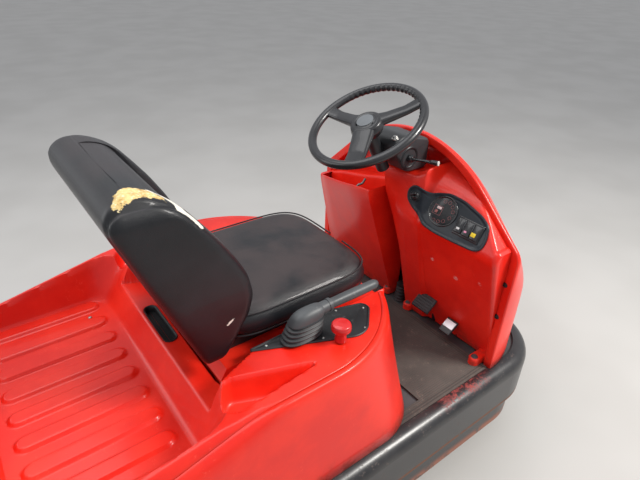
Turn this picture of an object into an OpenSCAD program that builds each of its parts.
// Electric tow tractor for airport baggage trains: one steered wheel under the nose,
// two driven wheels, a driver's seat on a tilting battery hood and a ribbed load deck.
// Millimetres. X points forward, Y to the left, Z up. The origin is on the ground on the
// centre plane, at mid-length.

/* [Overall] */
// Length from the nose of the rail to the tow coupling
overall_length = 1870; // [1830:10:1920]
// Width over the bumper rail
overall_width = 1060; // [1030:10:1090]
// Height of the driver's floor, on top of the mat
floor_height = 380; // [370:5:400]

/* [Bumper rail] */
// Height of the rail's face
rail_h = 175; // [150:5:190]
// Width of the rail's top, from its outer face to the mat
rail_w = 56; // [50:2:66]
// Radius of the rail's rounded shoulder
shoulder_r = 46; // [30:2:48]
// Plate thickness of the rail
rail_t = 8; // [5:1:12]
// Plan radius of the front corners
front_corner_r = 240; // [180:10:300]
// Plan radius of the rear corners
rear_corner_r = 90; // [70:5:120]
// Ground clearance under the skirt
skirt_clearance = 76; // [60:2:100]
// How far the skirt stands behind the rail's face
skirt_inset = 22; // [12:2:30]
// Plate thickness of the skirt
skirt_t = 6; // [4:1:10]

/* [Floor] */
// Thickness of the rubber mat
mat_t = 8; // [5:1:12]
// Thickness of the floor plate
floor_t = 6; // [4:1:10]
// Strip of bare floor between the mat and the foot of the shield
bare_floor = 40; // [30:5:60]

/* [Wheels] */
// Diameter of the rear tyres
rear_tyre_d = 405; // [390:5:415]
// Width of the rear tyres
rear_tyre_w = 105; // [95:5:110]
// How far the rear tyres stand inside the overall width
tyre_inset = 47.5; // [46:0.5:54]
// Rear axle, from the end of the coupling
rear_axle_in = 525; // [515:5:540]
// Diameter of the steered front tyre
front_tyre_d = 343; // [320:1:346]
// Width of the steered front tyre
front_tyre_w = 114; // [90:2:116]
// Kingpin of the steered wheel, from the front end
kingpin_in = 235; // [220:5:240]
// Radial clearance of each bearing
bearing_gap = 0.05; // [0.02:0.01:0.09]

/* [Body] */
// Wall of the moulded panels
panel_t = 6; // [4:1:8]
// How far the body stands inside the rail's face
body_inset = 40; // [36:2:46]
// How far the body's side leans in up to its top edge
body_lean = 16; // [8:2:24]
// Height of the console tops
console_h = 745; // [720:5:770]
// Front end of the consoles, from the end of the coupling
console_reach = 1220; // [1195:5:1235]
// Height of the deck floor
deck_h = 590; // [570:5:610]
// Height of the shelf behind the seat
shelf_h = 670; // [655:5:690]
// Number of raised ribs on the deck
deck_ribs = 9; // [7:1:11]
// Half width of the seat hood
hood_half_w = 252; // [244:2:262]
// Gap beside the hood
hood_gap = 6; // [5:1:10]

/* [Seat] */
// Width of the seat cushion
cushion_w = 466; // [420:2:490]
// Height of the cushion's top at its front
cushion_h = 828; // [810:2:850]
// Length of the seat cushion
cushion_l = 520; // [480:5:540]
// Height of the backrest's top
backrest_h = 1222; // [1180:2:1250]
// Width of the backrest
backrest_w = 504; // [480:2:504]

/* [Steering] */
// Outer diameter of the steering wheel
wheel_d = 392; // [360:2:400]
// Thickness of the steering wheel's rim
wheel_rim_d = 27; // [22:1:32]
// Height of the steering wheel's hub above the nose
wheel_hub_rise = 57; // [47:2:71]
// Steering wheel's hub, back from the foot of the shield
wheel_hub_back = 274; // [262:2:284]
// Tilt of the steering wheel
wheel_tilt = 29; // [24:1:34]

/* [Shield] */
// How far the nose stands inside the rail's sides
nose_inset = 46; // [42:2:56]
// How far the nose stands behind the rail's front
nose_setback = 42; // [39:1:50]
// Height of the nose at the centre
nose_top_h = 1115; // [1101:2:1129]
// Gap between the moulded shield and the side of the nose
shield_inset = 32; // [30:2:50]

/* [Coupling] */
// How far the coupling stands behind the rail
tow_reach = 60; // [50:2:70]
// Bore of the tow pin
tow_pin_d = 25; // [20:1:30]
// Height of the lowest jaw plate
tow_low_h = 222; // [215:1:235]
// Opening between two jaw plates
tow_step = 46; // [44:1:50]

/* [Hidden] */

red = [0.86, 0.08, 0.05];
black = [0.05, 0.05, 0.06];
charcoal = [0.16, 0.17, 0.18];
steel = [0.55, 0.55, 0.56];

half_l = overall_length / 2;
half_w = overall_width / 2;
rail_rear = half_l - tow_reach;
nose_half_w = half_w - nose_inset;
nose_front_x = half_l - nose_setback;
foot_x = nose_front_x - 253;
mat_front_x = foot_x - bare_floor;
wheel_hub_x = foot_x - wheel_hub_back;
wheel_hub_h = nose_top_h + wheel_hub_rise;
shield_half_w = nose_half_w - shield_inset;
body_half_w = half_w - body_inset;
body_top_half_w = body_half_w - body_lean;
console_front_x = console_reach - half_l;
kingpin_x = half_l - kingpin_in;
rear_axle_x = rear_axle_in - half_l;
rear_track = overall_width - 2 * tyre_inset - rear_tyre_w;
eps = 0.1;
seat_gap = 0.3;
big = 3000;

// Heights
rail_top = floor_height;
rail_bottom = rail_top - rail_h;
plate_top = floor_height - mat_t;
plate_bottom = plate_top - floor_t;
body_bottom = rail_top + seat_gap;

// Rear wheels
rear_r = rear_tyre_d / 2;
rear_y = rear_track / 2;
arch_r = rear_r + 32;
rear_pin_r = 22;

// Front wheel and fork
front_r = front_tyre_d / 2;
front_axle_r = 15;
fork_gap = 7;
fork_t = 11;
fork_arm_w = 64;
fork_inner_y = front_tyre_w / 2 + 9;
fork_low = front_tyre_d + fork_gap;
fork_top = fork_low + fork_t;
kingpin_r = 26;
kingpin_top = plate_top + 78;

// Deck
deck_front_x = console_front_x - 705;
deck_rear_x = -rail_rear + 64;
deck_floor_half_w = body_top_half_w - 78;
rim_h = console_h - 10;
rim_slope = 0.20;
crease_slope = 0.27;

// Shows a shape and its mirror image in the centre plane
module both() {
    children();
    mirror([0, 1, 0]) children();
}

// Turns a drawing in X and Z into a slab that spans a range of Y
module across(y0, y1) {
    translate([0, y1, 0]) rotate([90, 0, 0]) linear_extrude(y1 - y0) children();
}

// Turns a drawing in Y and Z into a slab that spans a range of X
module along(x0, x1) {
    translate([x0, 0, 0]) rotate([90, 0, 90]) linear_extrude(x1 - x0) children();
}

// Outline of two circles and the tangents that join them
function tangent(c1, r1, c2, r2, side) =
    let (u = (c2 - c1) / norm(c2 - c1), s = (r1 - r2) / norm(c2 - c1), c = sqrt(1 - s * s),
         n = side * c * [-u[1], u[0]] + s * u)
    [c1 + r1 * n, c2 + r2 * n];
module link(c1, r1, c2, r2, fn = 48) {
    a = tangent(c1, r1, c2, r2, 1);
    b = tangent(c1, r1, c2, r2, -1);
    polygon([a[0], a[1], c2, b[1], b[0], c1]);
    translate(c1) circle(r1, $fn = fn);
    translate(c2) circle(r2, $fn = fn);
}

// Carries a profile round the plan outline. The profile's X is the distance from the
// outline, negative to the inside, and its Y is the height.
module round_outline(rear_x, half_x, half_y, front_r, rear_r) {
    both() {
        along(-rear_x + rear_r, half_x - front_r) translate([half_y, 0]) children();
        translate([half_x - front_r, half_y - front_r, 0])
            rotate_extrude(angle = 90, $fn = 96) translate([front_r, 0]) children();
        translate([-rear_x + rear_r, half_y - rear_r, 0]) rotate([0, 0, 90])
            rotate_extrude(angle = 90, $fn = 96) translate([rear_r, 0]) children();
        across(-eps, half_y - front_r) translate([half_x, 0]) children();
        across(-eps, half_y - rear_r) mirror([1, 0]) translate([rear_x, 0]) children();
    }
}

// Plan outline with round corners, larger at the front
module plan(half_x0, half_x1, half_y, front_r, rear_r) {
    union() {
        translate([-half_x0 + rear_r, -half_y])
            square([half_x0 + half_x1 - front_r - rear_r, 2 * half_y]);
        translate([-half_x0, -half_y + rear_r]) square([rear_r + 1, 2 * (half_y - rear_r)]);
        translate([half_x1 - front_r - 1, -half_y + front_r])
            square([front_r + 1, 2 * (half_y - front_r)]);
        for (s = [-1, 1]) {
            translate([half_x1 - front_r, s * (half_y - front_r)]) circle(front_r, $fn = 96);
            translate([-half_x0 + rear_r, s * (half_y - rear_r)]) circle(rear_r, $fn = 64);
        }
    }
}

// Open arches over the rear wheels, cut from the side at both sides
module rear_arches() {
    both() translate([rear_axle_x, half_w - 170, rear_r]) rotate([-90, 0, 0])
        cylinder(r = arch_r, h = 240, $fn = 96);
}

// Section of the bumper rail, a bent plate with a rounded shoulder
module rail_section() {
    difference() {
        rail_solid_section(0);
        rail_solid_section(rail_t);
    }
}

module rail_solid_section(inset) {
    r = shoulder_r - inset;
    low = rail_bottom - (inset > 0 ? 1 : 0);
    deep = rail_w + (inset > 0 ? 1 : 0);
    translate([-deep, low]) square([deep - inset, rail_top - shoulder_r - low]);
    translate([-deep, low]) square([deep - shoulder_r, rail_top - inset - low]);
    translate([-shoulder_r, rail_top - shoulder_r]) intersection() {
        circle(r, $fn = 64);
        square(r);
    }
}

module chassis_rail() color(black) difference() {
    union() {
        round_outline(rail_rear, half_l, half_w, front_corner_r, rear_corner_r) rail_section();
        round_outline(rail_rear, half_l, half_w, front_corner_r, rear_corner_r)
            translate([-skirt_inset - skirt_t, rail_bottom]) square([skirt_inset + skirt_t, 6]);
    }
    rear_arches();
}

// Recessed lower skirt, hung under the rail
module side_skirt() color(black) difference() {
    round_outline(rail_rear, half_l, half_w, front_corner_r, rear_corner_r) {
        translate([-skirt_inset - skirt_t, skirt_clearance])
            square([skirt_t, rail_bottom - skirt_clearance]);
        translate([-skirt_inset - 26, skirt_clearance]) square([26, skirt_t]);
    }
    rear_arches();
    translate([-half_l, -230, 0]) cube([tow_reach + 110, 460, rail_bottom + 1]);
}

plate_half_w = half_w - rail_w;
plate_rear_x = rear_axle_x + arch_r + 14;
module floor_plate() color(charcoal) translate([0, 0, plate_bottom]) linear_extrude(floor_t)
    difference() {
        plan(-plate_rear_x, half_l - shoulder_r, half_w - shoulder_r, front_corner_r - shoulder_r, 10);
        translate([battery_x0 - battery_play, -battery_half_w - battery_play])
            square([battery_l + 2 * battery_play, 2 * (battery_half_w + battery_play)]);
        translate([kingpin_x, 0]) circle(kingpin_r + 6, $fn = 64);
    }

mat_side_l = 0.62 * (mat_front_x - console_front_x);
module floor_mat() color([0.2, 0.19, 0.18]) translate([console_front_x - mat_side_l, 0, plate_top])
    linear_extrude(mat_t) difference() {
        translate([0, -plate_half_w + 2])
            square([mat_front_x - console_front_x + mat_side_l, 2 * plate_half_w - 4]);
        translate([-1, -console_mat_y]) square([mat_side_l + 7, 2 * console_mat_y]);
    }
console_mat_y = plate_half_w - 40;

tray_t = 6;
tray_bottom = skirt_clearance + 44;
battery_x0 = console_front_x - 425;
battery_l = 380;
battery_half_w = 226;
battery_play = 2;
module battery_tray() color(charcoal) difference() {
    wall = battery_play + tray_t;
    translate([battery_x0 - wall, -battery_half_w - wall, tray_bottom])
        cube([battery_l + 2 * wall, 2 * (battery_half_w + wall), plate_bottom - tray_bottom]);
    translate([battery_x0 - battery_play, -battery_half_w - battery_play, tray_bottom + tray_t])
        cube([battery_l + 2 * battery_play, 2 * (battery_half_w + battery_play), plate_bottom]);
}
module battery_block() color([0.25, 0.27, 0.3])
    translate([battery_x0, -battery_half_w, tray_bottom + tray_t])
        cube([battery_l, 2 * battery_half_w, shelf_h - 40 - tray_bottom - tray_t]);

drum_y = rear_y - rear_tyre_w / 2 - 14;
drum_w = 62;
axle_tube_r = 46;
module drive_axle() color(charcoal) translate([rear_axle_x, 0, rear_r]) rotate([90, 0, 0]) {
    cylinder(r = axle_tube_r, h = 2 * (drum_y - drum_w + 2), center = true, $fn = 64);
    for (s = [0, 1]) mirror([0, 0, s]) {
        translate([0, 0, drum_y - drum_w]) cylinder(r = 92, h = drum_w, $fn = 64);
        translate([0, 0, drum_y - eps]) cylinder(r = rear_pin_r, h = rear_tyre_w + 6, $fn = 48);
    }
}

beam_y = 90;
beam_w = 50;

// Two closed drive units round the axle tube, against the brake drums
motor_l = drum_y - drum_w - beam_y - beam_w / 2 - 16.5;
module drive_motors() color([0.3, 0.3, 0.32]) both()
    translate([rear_axle_x, drum_y - drum_w, rear_r]) rotate([90, 0, 0]) difference() {
        cylinder(r = 84, h = motor_l, $fn = 64);
        translate([0, 0, -1]) cylinder(r = axle_tube_r + seat_gap, h = motor_l + 2, $fn = 64);
    }

// Two beams that join the rear of the rail to the battery tray, rest on the axle tube
// and hold the deck up on posts
beam_h = 66;
saddle_l = 120;
post_l = 50;
module frame_beams() color(charcoal) both() difference() {
    translate([0, beam_y - beam_w / 2, 0]) {
        translate([-rail_rear + shoulder_r, 0, plate_bottom - beam_h])
            cube([battery_x0 - battery_play - tray_t + rail_rear - shoulder_r, beam_w, beam_h]);
        translate([-rail_rear + rail_t, 0, plate_bottom - beam_h])
            cube([shoulder_r, beam_w, rail_top - shoulder_r - plate_bottom + beam_h]);
        translate([rear_axle_x - saddle_l / 2, 0, rear_r + 20])
            cube([saddle_l, beam_w, plate_bottom - beam_h - rear_r - 19]);
        for (x = [-rail_rear + 110, deck_front_x - 60]) translate([x, 0, plate_bottom - 1])
            cube([post_l, beam_w, deck_h - panel_t - seat_gap - plate_bottom + 1]);
    }
    translate([rear_axle_x, half_w, rear_r]) rotate([90, 0, 0])
        cylinder(r = axle_tube_r + seat_gap, h = overall_width, $fn = 64);
}

// Bearing tube of the kingpin with its flange on the floor plate
bearing_wall = 14;
module steering_bearing() color(steel) translate([kingpin_x, 0, plate_top]) difference() {
    union() {
        cylinder(r = kingpin_r + bearing_wall, h = 70, $fn = 64);
        cylinder(r = kingpin_r + bearing_wall + 12, h = 7, $fn = 64);
    }
    translate([0, 0, -1]) cylinder(r = kingpin_r + bearing_gap, h = 90, $fn = 64);
}

// Outer form of the body, shrunk by an inset for the space inside it
module body_block(inset) {
    low = inset > 0 ? 40 : 0;
    difference() {
        hull() {
            translate([0, 0, body_bottom - low]) linear_extrude(1)
                plan(rail_rear - 16 - inset, console_front_x - inset, body_half_w - inset, 200, 80);
            translate([0, 0, console_h - inset - 1]) linear_extrude(1)
                plan(rail_rear - 24 - inset, console_front_x - inset, body_top_half_w - inset, 380, 80);
        }
        translate([0, 0, -inset]) {
            across(-half_w, half_w) polygon([
                [-half_l, rim_h + rim_slope * (-half_l - deck_rim_x)], [deck_rim_x, rim_h],
                [deck_rim_x + 90, console_h], [deck_rim_x + 90, console_h + 90],
                [-half_l, console_h + 90]]);
            both() translate([deck_rim_x, rim_crest_y, rim_h]) rotate([0, -atan(crease_slope), 0])
                rotate([-60, 0, 0]) translate([-half_l, 0, 0]) cube([overall_length, 300, 300]);
        }
    }
}
deck_rim_x = deck_front_x + 30;
rim_crest_y = body_top_half_w - 32;

// Load space of the deck, grown by a wall for the tub that holds it
module deck_space(wall) {
    run = deck_wall_slope * (deck_space_h);
    hull() {
        translate([0, 0, deck_h - wall]) linear_extrude(1)
            plan(-deck_rear_x + wall, deck_front_x + wall, deck_floor_half_w + wall, 62, 50);
        translate([0, 0, deck_h + deck_space_h]) linear_extrude(1)
            plan(-deck_rear_x + 10 + wall, deck_front_x + run + wall, deck_floor_half_w + 40 + wall, 74, 60);
    }
}
deck_space_h = 180;
deck_wall_slope = 0.56;

// Bay of the seat hood, open to the driver's floor
module hood_bay(grow) translate([hood_rear_x - grow, -hood_half_w - grow])
    square([console_front_x - hood_rear_x + 2 * grow, 2 * (hood_half_w + grow)]);
hood_rear_x = deck_front_x + 111;

// Shelf behind the seat, which narrows to the hood beside the backrest
module shelf_area(grow) polygon([
    [deck_front_x + 30, -shelf_half_w - grow], [deck_front_x + 30, shelf_half_w + grow],
    [deck_front_x + 48 + grow, shelf_half_w + grow], [shelf_waist_x + grow, hood_half_w + hood_gap],
    [shelf_waist_x + grow, -hood_half_w - hood_gap], [deck_front_x + 48 + grow, -shelf_half_w - grow]]);
shelf_waist_x = deck_front_x + 205;
shelf_half_w = hood_half_w + 68;
hand_hold = [186, 30];

// Oddment tray in a console, round at its rear and pointed in front
module tray(grow, z0, z1) both() translate([0, 0, z0]) linear_extrude(z1 - z0)
    link([deck_front_x + 98, body_top_half_w - 102], 54 + grow,
         [deck_front_x + 298, body_top_half_w - 76], 6 + grow);
tray_depth = 62;

rib_pitch = 2 * (deck_floor_half_w - 34) / (deck_ribs - 1);
rib_rear_x = deck_rear_x + 60;
rib_front_x = deck_front_x - 56;
module deck_rib(y) translate([0, y, deck_h - 1]) linear_extrude(1 + deck_rib_h) {
    translate([rib_rear_x, -rib_half_w]) square([rib_front_x - rib_rear_x, 2 * rib_half_w]);
    for (x = [rib_rear_x, rib_front_x]) translate([x, 0]) circle(rib_half_w, $fn = 24);
}
deck_rib_h = 9;
rib_half_w = 26;

module body_tub() color(red) {
    difference() {
        union() {
            difference() {
                body_block(0);
                body_block(panel_t);
            }
            intersection() {
                body_block(0);
                union() {
                    deck_space(panel_t);
                    translate([0, 0, body_bottom]) linear_extrude(console_h) hood_bay(hood_gap + panel_t);
                    translate([0, 0, shelf_h - panel_t]) linear_extrude(console_h) shelf_area(panel_t);
                    tray(panel_t, console_h - tray_depth - panel_t, console_h);
                }
            }
        }
        deck_space(0);
        translate([0, 0, body_bottom - 50]) linear_extrude(console_h) hood_bay(hood_gap);
        translate([0, 0, shelf_h]) linear_extrude(console_h) shelf_area(0);
        translate([deck_front_x + 82, 60, shelf_h - 20]) linear_extrude(40) rotate([0, 0, 90])
            stadium(hand_hold[0], hand_hold[1]);
        tray(0, console_h - tray_depth, console_h + 40);
        rear_arches();
    }
    for (i = [0 : deck_ribs - 1]) deck_rib((i - (deck_ribs - 1) / 2) * rib_pitch);
}

// Leaf-shaped plate on the right console
module leaf() hull() {
    translate([lever_x - 144, lever_y + 30]) circle(5, $fn = 24);
    translate([lever_x + 126, lever_y - 22]) circle(64, $fn = 48);
    translate([lever_x + 200, lever_y - 2]) circle(24, $fn = 32);
}
plate_t = 4;
module console_plate() color(black) translate([0, 0, console_h]) linear_extrude(plate_t) leaf();

// Stadium outline, long in X
module stadium(length, width, fn = 32) {
    square([length - width, width], center = true);
    for (s = [-1, 1]) translate([s * (length - width) / 2, 0]) circle(width / 2, $fn = fn);
}

lever_x = console_front_x - 363;
lever_y = -hood_half_w - 0.216 * (body_top_half_w - hood_half_w);
plate_top_h = console_h + plate_t;
boot_folds = [[0, 128, 74], [8, 112, 58], [15, 122, 68], [23, 106, 52], [30, 116, 62],
              [38, 100, 48], [45, 108, 56]];
// Each fold of the boot: height, length, width
module lever_boot() color(charcoal) translate([lever_x, lever_y, plate_top_h]) {
    for (f = boot_folds) translate([(f[0]) * 0.15, 0, f[0]]) linear_extrude(8.2) stadium(f[1], f[2]);
}

lever_grip_r = 15;
lever_end_x = lever_x + 254;
lever_grip_h = console_h + 70;
module brake_lever() color(charcoal) {
    translate([lever_x + 8, lever_y, plate_top_h + 53.2]) linear_extrude(24) stadium(98, 46);
    translate([lever_x + 30, lever_y, lever_grip_h]) rotate([0, 90, 0])
        cylinder(r = 12, h = 60, $fn = 32);
    translate([lever_x + 62, lever_y, lever_grip_h]) rotate([0, 90, 0])
        cylinder(r = lever_grip_r, h = lever_end_x - lever_x - 62, $fn = 48);
}

module stop_button() color(red) translate([lever_x + 66, lever_y - 72, plate_top_h])
    rotate_extrude($fn = 64) polygon([[0, 0], [17, 0], [15, 18], [13, 30], [23, 36], [24, 48], [20, 55],
                                      [10, 58], [0, 59]]);

// Nose and shield. The outline seen from behind is an arch.
arch_r1 = 60;
arch_c1 = [nose_half_w - arch_r1, nose_top_h - 303];
arch_r2 = 460;
arch_c2 = [0, nose_top_h - arch_r2];
arch_d = arch_c2 - arch_c1;
arch_n = let (u = arch_d / norm(arch_d), s = (arch_r1 - arch_r2) / norm(arch_d), c = sqrt(1 - s * s))
    [u[1] * c + u[0] * s, -u[0] * c + u[1] * s];
arch_a = atan2(arch_n[1], arch_n[0]);
function arc(c, r, a0, a1, n) =
    [for (i = [0 : n]) let (a = a0 + (a1 - a0) * i / n) c + r * [cos(a), sin(a)]];
module arch(inset, low) {
    w = nose_half_w - inset;
    half = concat([[w, low]], arc(arch_c1, arch_r1 - inset, 0, arch_a, 8),
                  arc(arch_c2, arch_r2 - inset, arch_a, 90, 8));
    polygon(concat(half, [for (i = [len(half) - 2 : -1 : 0]) [-half[i][0], half[i][1]]]));
}

nose_rear_x = foot_x - 42;
nose_plan_r = 216;
// Side view of the nose: how far each height above the floor leans back
nose_lean = [[0, 0], [0.2, 0], [0.37, 12], [0.55, 44], [0.73, 98], [0.88, 165], [1.01, 230]];
module nose_profile(inset, low) {
    rise = nose_top_h - floor_height;
    polygon(concat([[nose_rear_x - (inset > 0 ? 50 : 0), low]],
        [for (p = nose_lean) [nose_front_x - inset - p[1], p[0] == 0 ? low : floor_height + p[0] * rise]],
        [[nose_rear_x - (inset > 0 ? 50 : -16), floor_height + 1.01 * rise]]));
}

module nose_form(inset) {
    low = body_bottom - (inset > 0 ? 10 : 0);
    intersection() {
        along(nose_rear_x - 60, nose_front_x) arch(inset, low);
        across(-half_w, half_w) nose_profile(inset, low);
        translate([0, 0, low]) linear_extrude(nose_top_h) plan(0, nose_front_x - inset,
            nose_half_w - inset, nose_plan_r - inset, 10);
    }
}
module nose_shell() color(red) difference() {
    union() {
        difference() {
            nose_form(0);
            nose_form(panel_t);
        }
        intersection() {
            nose_form(0);
            along(nose_rear_x, nose_rear_x + panel_t) difference() {
                arch(0, body_bottom);
                arch(rim_w, body_bottom - 1);
            }
        }
    }
    for (s = [-1, 1]) translate([nose_front_x - 60, s * lamp_y, lamp_h]) rotate([0, 90, 0])
        cylinder(r = lamp_r + 1, h = 80, $fn = 64);
}

// Space for the shield inside the rim of the nose
rim_w = 30;
module nose_room(front_open) {
    along(0, nose_rear_x - 2) {
        if (front_open) translate([-half_w, body_bottom - 50]) square([overall_width, nose_top_h]);
        else arch(panel_t + 1, body_bottom - 50);
    }
    along(nose_rear_x - 3, nose_rear_x + panel_t + 3) arch(rim_w + 2, body_bottom - 50);
    along(nose_rear_x + panel_t + 2, scoop_x) arch(panel_t + 1, body_bottom - 50);
}
lamp_y = nose_half_w - 214;
lamp_h = floor_height + 180;
lamp_r = 52;
module headlamps() color([0.85, 0.87, 0.9]) for (s = [-1, 1])
    translate([nose_front_x - 58, s * lamp_y, lamp_h]) rotate([0, 90, 0]) rotate_extrude($fn = 64)
        polygon([[0, 0], [30, 4], [lamp_r - 4, 30], [lamp_r, 46], [lamp_r, 56], [lamp_r - 10, 61], [0, 66]]);

// Faces of the shield, X and Z from the foot upwards
knee_x = foot_x - 112;
knee_h = nose_top_h - 277;
dash_x = foot_x - 36;
dash_h = nose_top_h - 218;
lip_x = foot_x - 198;
lip_h = nose_top_h - 207;
spine_x = foot_x - 142;
spine_h = nose_top_h - 147;
spine_top = nose_top_h - 115;
spine_y0 = -78;
spine_y1 = 30;
scoop_x = foot_x + 28;
module right_profile(t) polygon([
    [foot_x - 4 + t, body_bottom - t * 2], [knee_x + t, knee_h - t], [dash_x + t, dash_h - t * 1.4],
    [scoop_x + t, dash_h + 6 - t], [scoop_x + t, body_bottom - t * 2]]);
module spine_profile(t) polygon([
    [foot_x - 20 + t, body_bottom - t * 2], [spine_x + t, spine_h - t], [spine_x + 12, spine_top - t],
    [scoop_x + t, spine_top - t], [scoop_x + t, body_bottom - t * 2]]);
left_foot_x = foot_x - 14;
lip_low = lip_h - 30;

// Left panel. Its lip falls and sweeps forward to the side: share of the width, then how
// far the lip lies in front of its inner end and below it.
left_sweep = [[0, 0, 0], [0.21, 3, 14], [0.45, 28, 45], [0.87, 67, 85], [1, 106, 112]];
left_y0 = spine_y1 + 14;
function left_y(share, t) = left_y0 + t + share * (shield_half_w - left_y0 - 2 * t);
module left_block(t) intersection() {
    under = t > 0 ? 2 : 0;
    across(left_y0 + t, shield_half_w - t) polygon([
        [left_foot_x + t, body_bottom - under], [lip_x + t, lip_low], [lip_x + t, nose_top_h],
        [scoop_x + under, nose_top_h], [scoop_x + under, body_bottom - under]]);
    linear_extrude(nose_top_h) polygon(concat(
        [for (p = left_sweep) [lip_x + p[1] + t, left_y(p[0], t)]],
        [[scoop_x + 3, shield_half_w - t], [scoop_x + 3, left_y0 + t]]));
}
module left_cover(t) along(0, half_l) polygon(concat(
    [for (p = left_sweep) [left_y(p[0], t), lip_h - p[2] - t]],
    [[shield_half_w - t, body_bottom - 3], [left_y0 + t, body_bottom - 3]]));

// Back of the scoop, which closes the nose behind the dash
module scoop_back(y0, y1, low) along(scoop_x - panel_t, scoop_x) intersection() {
    arch(panel_t + 6, body_bottom);
    translate([y0, low]) square([y1 - y0, nose_top_h]);
}

module shield_right() color(red) {
    difference() {
        intersection() {
            union() {
                difference() {
                    across(-shield_half_w, spine_y0 + 4) right_profile(0);
                    across(-shield_half_w + panel_t, spine_y0 + 20) right_profile(panel_t);
                    panel_place() panel_pocket(1);
                }
                panel_place() difference() {
                    panel_pocket(4);
                    panel_pocket(1);
                }
                difference() {
                    across(spine_y0, spine_y1) spine_profile(0);
                    across(spine_y0 + panel_t, spine_y1 - panel_t) spine_profile(panel_t);
                }
                scoop_back(-half_w, spine_y1, dash_h - 20);
            }
            nose_room(false);
        }
        translate([foot_x - 60, -28, body_bottom - 10]) cube([100, 56, 90]);
    }
    shield_foot(foot_x - 8, -64, 30, plate_top);
    shield_foot(foot_x - 62, -shield_half_w + 24, 76, floor_height);
}

module shield_left() color(red) {
    intersection() {
        union() {
            difference() {
                intersection() {
                    left_block(0);
                    left_cover(0);
                }
                intersection() {
                    left_block(panel_t);
                    across(0, half_w) translate([0, pocket_h]) square([pocket_back_x, nose_top_h]);
                }
                intersection() {
                    left_block(panel_t);
                    left_cover(panel_t);
                    across(0, half_w) difference() {
                        square([half_l, nose_top_h]);
                        translate([0, pocket_h - panel_t]) square([pocket_back_x + panel_t, nose_top_h]);
                    }
                }
            }
            scoop_back(left_y0, half_w, lip_h - 20);
        }
        nose_room(true);
    }
    shield_foot(foot_x - 8, 64, 30, plate_top);
}
pocket_h = lip_h - 150;
pocket_back_x = nose_rear_x - 8;

// Round foot with its bolt hole, which holds the shield on the floor
module shield_foot(x, y, run, low) translate([x, y, low])
    linear_extrude(floor_height + 26 - low) difference() {
        union() {
            circle(19, $fn = 48);
            translate([0, -12]) square([run, 24]);
        }
        circle(6, $fn = 32);
    }

// Place and outline of the instrument panel on the sloping dash
dash_tilt = atan2(dash_h - knee_h, dash_x - knee_x);
module panel_place() translate([knee_x + 4, 0, knee_h + 4]) rotate([0, -dash_tilt, 0])
    children();
panel_depth = 5;
module panel_pocket(grow) translate([0, 0, -panel_depth - 6]) linear_extrude(panel_depth + 16)
    panel_outline(grow);
module panel_outline(grow) hull() {
    translate([66, -104]) circle(17 + grow, $fn = 32);
    translate([46, -196]) circle(44 + grow, $fn = 48);
    translate([32, -386]) circle(18 + grow, $fn = 32);
    translate([66, -330]) circle(18 + grow, $fn = 32);
}
module instrument_panel() color([0.1, 0.13, 0.17]) panel_place() difference() {
    translate([0, 0, -panel_depth - 2]) linear_extrude(panel_depth) panel_outline(0);
    translate([46, -196, -5]) cylinder(r = 36, h = 20, $fn = 64);
    translate([66, -104, -20]) cylinder(r = 11, h = 40, $fn = 48);
    translate([rocker_at[0], rocker_at[1], -20]) cube([44, 92, 40]);
}
module round_gauge() color(black) panel_place() translate([46, -196, -5]) rotate_extrude($fn = 64)
    polygon([[0, 0], [35.7, 0], [35.7, 6], [33, 7], [31, 4], [0, 4]]);
module key_switch() color(black) panel_place() translate([66, -104, -18]) {
    cylinder(r = 10.7, h = 18, $fn = 48);
    translate([0, 0, 17]) cylinder(r = 13, h = 4, $fn = 48);
    translate([-1.5, -9, 21]) cube([3, 18, 14]);
}
rocker_at = [16, -373];
module rocker_block() color(black) panel_place()
    translate([rocker_at[0] + seat_gap, rocker_at[1] + seat_gap, -18]) {
    cube([43.4, 91.4, 18]);
    for (i = [0 : 2]) translate([4, 4 + i * 29, 17]) cube([35, 26, 5]);
}

// Steering column. Its axis leans forward below the hub.
module wheel_place() translate([wheel_hub_x, 0, wheel_hub_h]) rotate([0, -wheel_tilt, 0]) children();
stalk_x = foot_x - 128;
stalk_h = spine_top + 34;
module column_housing() color(charcoal) difference() {
    across(-housing_half_w, housing_half_w) polygon([
        [foot_x - 140, spine_top + seat_gap], [foot_x - 210, spine_top + 86],
        [foot_x - 204, spine_top + 122], [foot_x - 170, spine_top + 136],
        [nose_rear_x - 2, spine_top + 104], [nose_rear_x - 2, spine_top + seat_gap]]);
    wheel_place() translate([0, 0, -260]) cylinder(r = column_r + 0.3, h = 260, $fn = 64);
    translate([stalk_x, -housing_half_w - 1, stalk_h]) rotate([-90, 0, 0])
        cylinder(r = 30, h = 16, $fn = 48);
}
housing_half_w = 74;
column_r = 21.7;
module column_tube() color(steel) wheel_place() difference() {
    translate([0, 0, -190]) cylinder(r = column_r, h = 165, $fn = 64);
    translate([0, 0, -60]) cylinder(r = 10 + bearing_gap, h = 60, $fn = 64);
}
module column_gaiter() color(black) translate([foot_x - 16, 0, plate_top]) {
    for (i = [0 : 4]) translate([0, 0, i * 14]) cylinder(r = i % 2 == 0 ? 23 : 18, h = 14.1, $fn = 32);
}
module turn_stalk() color(black)
    translate([stalk_x, -housing_half_w + 15 - seat_gap, stalk_h]) rotate([90, 0, 0]) {
    cylinder(r = 15, h = 22, $fn = 32);
    translate([0, 0, 20]) cylinder(r = 4.5, h = 66, $fn = 24);
    translate([0, 0, 84]) cylinder(r = 7.5, h = 24, $fn = 24);
}
module bag_hook() color(steel) translate([lip_x + panel_t + 4, 112, lip_low - 8]) {
    cube([8, 12, 28]);
    translate([0, 0, 20]) cube([36, 12, 8]);
    translate([28, 0, 20]) cube([8, 12, 26]);
}

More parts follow.
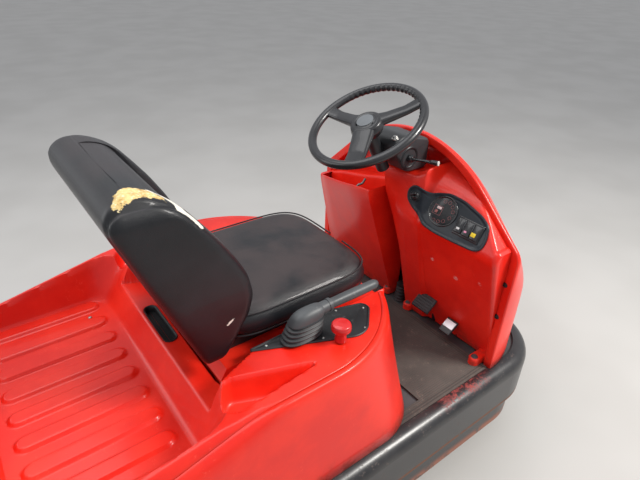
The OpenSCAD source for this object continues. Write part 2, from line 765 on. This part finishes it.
// Pedals on their levers
module pedal(x, y, z, w, l, tilt) translate([x, y, z]) rotate([0, tilt, 0]) {
    translate([-l / 2, -w / 2, 0]) cube([l, w, 12]);
    for (i = [-2 : 2]) translate([i * l / 5.4 - 3, -w / 2 + 4, 11]) cube([6, w - 8, 4]);
}
module brake_pedal() color(black) {
    pedal(foot_x - 62, -150, floor_height + 86, 74, 62, -38);
    translate([foot_x - 68, -160, floor_height]) cube([14, 20, 84]);
}
module drive_pedal() color(black) {
    pedal(foot_x - 56, -282, floor_height + 44, 48, 66, -30);
    translate([foot_x - 64, -292, floor_height]) cube([14, 20, 42]);
}

// Tail
module tail_lamps() color([0.7, 0.05, 0.05]) for (s = [-1, 1])
    translate([-rail_rear + 17.4 - 18, s * 350 - 45, 450]) cube([18, 90, 46]);

tow_jaws = 3;
tow_plate_t = 12;
tow_jaw_w = 120;
tow_x = -half_l + 28;
module tow_coupling() color(black) difference() {
    union() {
        translate([-rail_rear - 12, -tow_jaw_w / 2 - 20, rail_bottom + 4])
            cube([12, tow_jaw_w + 40, rail_h - shoulder_r - 8]);
        for (i = [0 : tow_jaws - 1]) translate([-half_l, -tow_jaw_w / 2, tow_low_h + i * tow_step])
            cube([tow_reach - 8, tow_jaw_w, tow_plate_t]);
    }
    translate([tow_x, 0, tow_low_h - 60]) cylinder(r = tow_pin_d / 2 + 0.5, h = 400, $fn = 48);
}
tow_tip = 22;
tow_top_h = tow_low_h + (tow_jaws - 1) * tow_step + tow_plate_t;
module tow_pin() color(steel) translate([tow_x, 0, 0]) {
    translate([0, 0, tow_low_h - 2])
        cylinder(r = tow_pin_d / 2, h = tow_top_h - tow_low_h + 32, $fn = 48);
    translate([0, 0, tow_low_h - 6]) cylinder(r = tow_pin_d / 2 - 4.5, h = 5, $fn = 48);
    translate([0, 0, tow_low_h - 5 - tow_tip]) cylinder(r = tow_pin_d / 2 - 3, h = tow_tip, $fn = 48);
    translate([0, 0, tow_top_h]) cylinder(r = 18, h = 8, $fn = 48);
    translate([0, 0, tow_top_h + 42]) rotate([90, 0, 0]) rotate_extrude($fn = 32) translate([16, 0])
        circle(5, $fn = 16);
}

// Seat hood over the battery
hood_h = shelf_h + 34;
hood_front_x = console_front_x - hood_gap;
hinge_pin_r = 8;
hinge_barrel_r = 16;
hinge_x = hood_front_x - 20;
hinge_z = floor_height + 40;
hood_low = hinge_z - 8;
lug_y = 190;
lug_t = 12;
module hood_form(t) across(-hood_half_w + t, hood_half_w - t) polygon([
    [hood_rear_x + t, shelf_h - 40 - 2 * t], [hood_rear_x + t, shelf_h - t],
    [hood_rear_x + 20 + t, hood_h - t], [hood_front_x - 28 - t, hood_h - t],
    [hood_front_x - 2 - t, hood_h - 26 - t], [hood_front_x - t, hood_low - t],
    [battery_x0 + 40, hood_low - t], [battery_x0 + 40, shelf_h - 40 - 2 * t]]);
module seat_hood() color(red) {
    difference() {
        hood_form(0);
        hood_form(panel_t);
        both() translate([hinge_x - 20, lug_y - lug_t / 2 - 5, hood_low - 1])
            cube([60, lug_t + 10, hinge_z - hood_low + 22]);
    }
    both() translate([hinge_x, lug_y - 20, hinge_z]) rotate([90, 0, 0]) difference() {
        cylinder(r = hinge_barrel_r, h = 60, $fn = 48);
        translate([0, 0, -1]) cylinder(r = hinge_pin_r + bearing_gap, h = 62, $fn = 48);
    }
}

// Sill in front of the battery with the hood's hinge pin
sill_h = hood_low - 16 - plate_top;
module hood_hinge() color(black) {
    translate([hinge_x - 12, -hood_half_w + 8, plate_top]) cube([24, 2 * hood_half_w - 16, sill_h]);
    both() translate([0, lug_y - lug_t / 2, 0]) {
        translate([hinge_x - 12, 0, plate_top]) cube([24, lug_t, hinge_z - plate_top]);
        translate([hinge_x, lug_t, hinge_z]) rotate([90, 0, 0]) cylinder(r = 12, h = lug_t, $fn = 48);
    }
    translate([hinge_x, lug_y, hinge_z]) rotate([90, 0, 0])
        cylinder(r = hinge_pin_r, h = 2 * lug_y, $fn = 48);
}

module seat_frame() color(black) translate([hood_rear_x + 30, -cushion_w / 2 + 43, hood_h])
    cube([cushion_l - 70, cushion_w - 86, 26]);

cushion_z = hood_h + 26 + seat_gap;
cushion_x = console_front_x - 41;
module seat_cushion() color(charcoal) hull() {
    translate([cushion_x - cushion_l + 12, -cushion_w / 2 + 30, cushion_z])
        cube([cushion_l - 50, cushion_w - 60, 10]);
    for (s = [-1, 1]) {
        translate([cushion_x - 44, s * (cushion_w / 2 - 44), cushion_h - 44]) sphere(44, $fn = 24);
        translate([cushion_x - cushion_l + 30, s * (cushion_w / 2 - 30), cushion_h - 52])
            sphere(30, $fn = 20);
    }
}

back_w = backrest_w / 2;
// Side outline of the backrest from its foot up the rear, over the roll and down the wing:
// how far each point stands behind the cushion's rear edge, and its height from the
// cushion's foot to the backrest's top
back_outline = [[60, 0], [164, 0.53], [226, 0.855], [232, 0.93], [214, 0.984], [186, 1], [154, 0.988],
                [128, 0.94], [34, 0.687], [-60, 0.459], [-84, 0.345], [-76, 0.243], [-44, 0.154], [14, 0]];
back_hollow = [[128, 1.05], [132, 0.96], [116, 0.792], [54, 0.467], [16, 0.243], [10, -0.02], [-176, -0.02],
               [-176, 1.05]];
module back_drawing(table) polygon([for (p = table)
    [cushion_x - cushion_l - p[0], cushion_z + p[1] * (backrest_h - cushion_z)]]);
module seat_backrest() color(charcoal) difference() {
    intersection() {
        across(-back_w, back_w) back_drawing(back_outline);
        linear_extrude(backrest_h) plan(cushion_l - cushion_x + 236, 0, back_w, 10, 110);
    }
    across(-back_w + 62, back_w - 62) back_drawing(back_hollow);
    translate([cushion_x - cushion_l - 0.5, -cushion_w / 2 - 0.5, 0])
        cube([cushion_l, cushion_w + 1, cushion_h - 18]);
}

// Steering wheel with three spokes
rim_r = (wheel_d - wheel_rim_d) / 2;
spokes = [[180, 46], [62, 34], [-62, 34]];
module steering_wheel() color(black) wheel_place() {
    rotate_extrude($fn = 96) translate([rim_r, 0]) circle(wheel_rim_d / 2, $fn = 24);
    difference() {
        translate([0, 0, -18]) cylinder(r = 36, h = 22, $fn = 64);
        translate([0, 0, -19]) cylinder(r = 10.3, h = 30, $fn = 48);
    }
    for (s = spokes) rotate([0, 0, s[0]]) translate([30, -s[1] / 2, -8]) cube([rim_r - 30, s[1], 10]);
}
module steering_hub() color(charcoal) wheel_place() {
    translate([0, 0, 4]) cylinder(r = 27, h = 12, $fn = 64);
    translate([0, 0, -58]) cylinder(r = 10, h = 58 + 5, $fn = 48);
}

// Fork, kingpin and axle of the steered wheel
module steer_fork() color(charcoal) translate([kingpin_x, 0, 0]) {
    translate([-fork_arm_w / 2, -fork_inner_y - 12, fork_low])
        cube([fork_arm_w, 2 * fork_inner_y + 24, fork_t]);
    translate([0, 0, fork_low]) cylinder(r = 58, h = fork_t, $fn = 64);
    for (s = [-1, 1]) translate([-fork_arm_w / 2, s * (fork_inner_y + 6) - 6, front_r - 30])
        cube([fork_arm_w, 12, fork_low - front_r + 30 + eps]);
    translate([0, 0, fork_top - eps]) cylinder(r = kingpin_r, h = kingpin_top - fork_top, $fn = 64);
    translate([0, 0, front_r]) rotate([90, 0, 0])
        cylinder(r = front_axle_r, h = 2 * fork_inner_y + 24, center = true, $fn = 48);
}

// Tyre and rim, revolved about Y
module tyre_shape(r, w, rim) rotate([90, 0, 0]) rotate_extrude($fn = 96) polygon([
    [rim, -w / 2 + 12], [rim + 8, -w / 2], [r - 26, -w / 2], [r - 8, -w / 2 + 10], [r, -w / 2 + 24],
    [r, w / 2 - 24], [r - 8, w / 2 - 10], [r - 26, w / 2], [rim + 8, w / 2], [rim, w / 2 - 12]]);
module rim_shape(rim, w, bore, disc) rotate([90, 0, 0]) rotate_extrude($fn = 96) polygon([
    [bore, -w / 2 + 10], [bore + 24, -w / 2 + 10], [bore + 24, disc - 8], [rim - 12, disc - 8],
    [rim - 12, -w / 2 + 14], [rim, -w / 2 + 14], [rim, w / 2 - 14], [rim - 12, w / 2 - 14],
    [rim - 12, disc], [bore + 24, disc], [bore + 24, w / 2 - 10], [bore, w / 2 - 10]]);
front_rim_r = 104;
rear_rim_r = 106;
module front_rim() color([0.8, 0.8, 0.78]) translate([kingpin_x, 0, front_r])
    rim_shape(front_rim_r - 0.3, front_tyre_w, front_axle_r + bearing_gap, 4);
module front_tyre() color(black) translate([kingpin_x, 0, front_r])
    tyre_shape(front_r, front_tyre_w, front_rim_r);
module rear_rim(s) color([0.8, 0.8, 0.78]) translate([rear_axle_x, s * rear_y, rear_r])
    mirror([0, s > 0 ? 0 : 1, 0]) rim_shape(rear_rim_r - 0.3, rear_tyre_w, rear_pin_r + bearing_gap, -10);
module rear_tyre(s) color(black) translate([rear_axle_x, s * rear_y, rear_r])
    tyre_shape(rear_r, rear_tyre_w, rear_rim_r);
module rear_left_rim() rear_rim(1);
module rear_left_tyre() rear_tyre(1);
module rear_right_rim() rear_rim(-1);
module rear_right_tyre() rear_tyre(-1);

chassis_rail();
side_skirt();
floor_plate();
floor_mat();
battery_tray();
battery_block();
drive_axle();
drive_motors();
frame_beams();
steering_bearing();
body_tub();
console_plate();
lever_boot();
brake_lever();
stop_button();
nose_shell();
shield_right();
shield_left();
column_housing();
column_tube();
column_gaiter();
instrument_panel();
round_gauge();
key_switch();
rocker_block();
turn_stalk();
bag_hook();
brake_pedal();
drive_pedal();
headlamps();
tail_lamps();
tow_coupling();
tow_pin();
hood_hinge();
seat_hood();
seat_frame();
seat_cushion();
seat_backrest();
steering_wheel();
steering_hub();
steer_fork();
front_rim();
front_tyre();
rear_left_rim();
rear_left_tyre();
rear_right_rim();
rear_right_tyre();
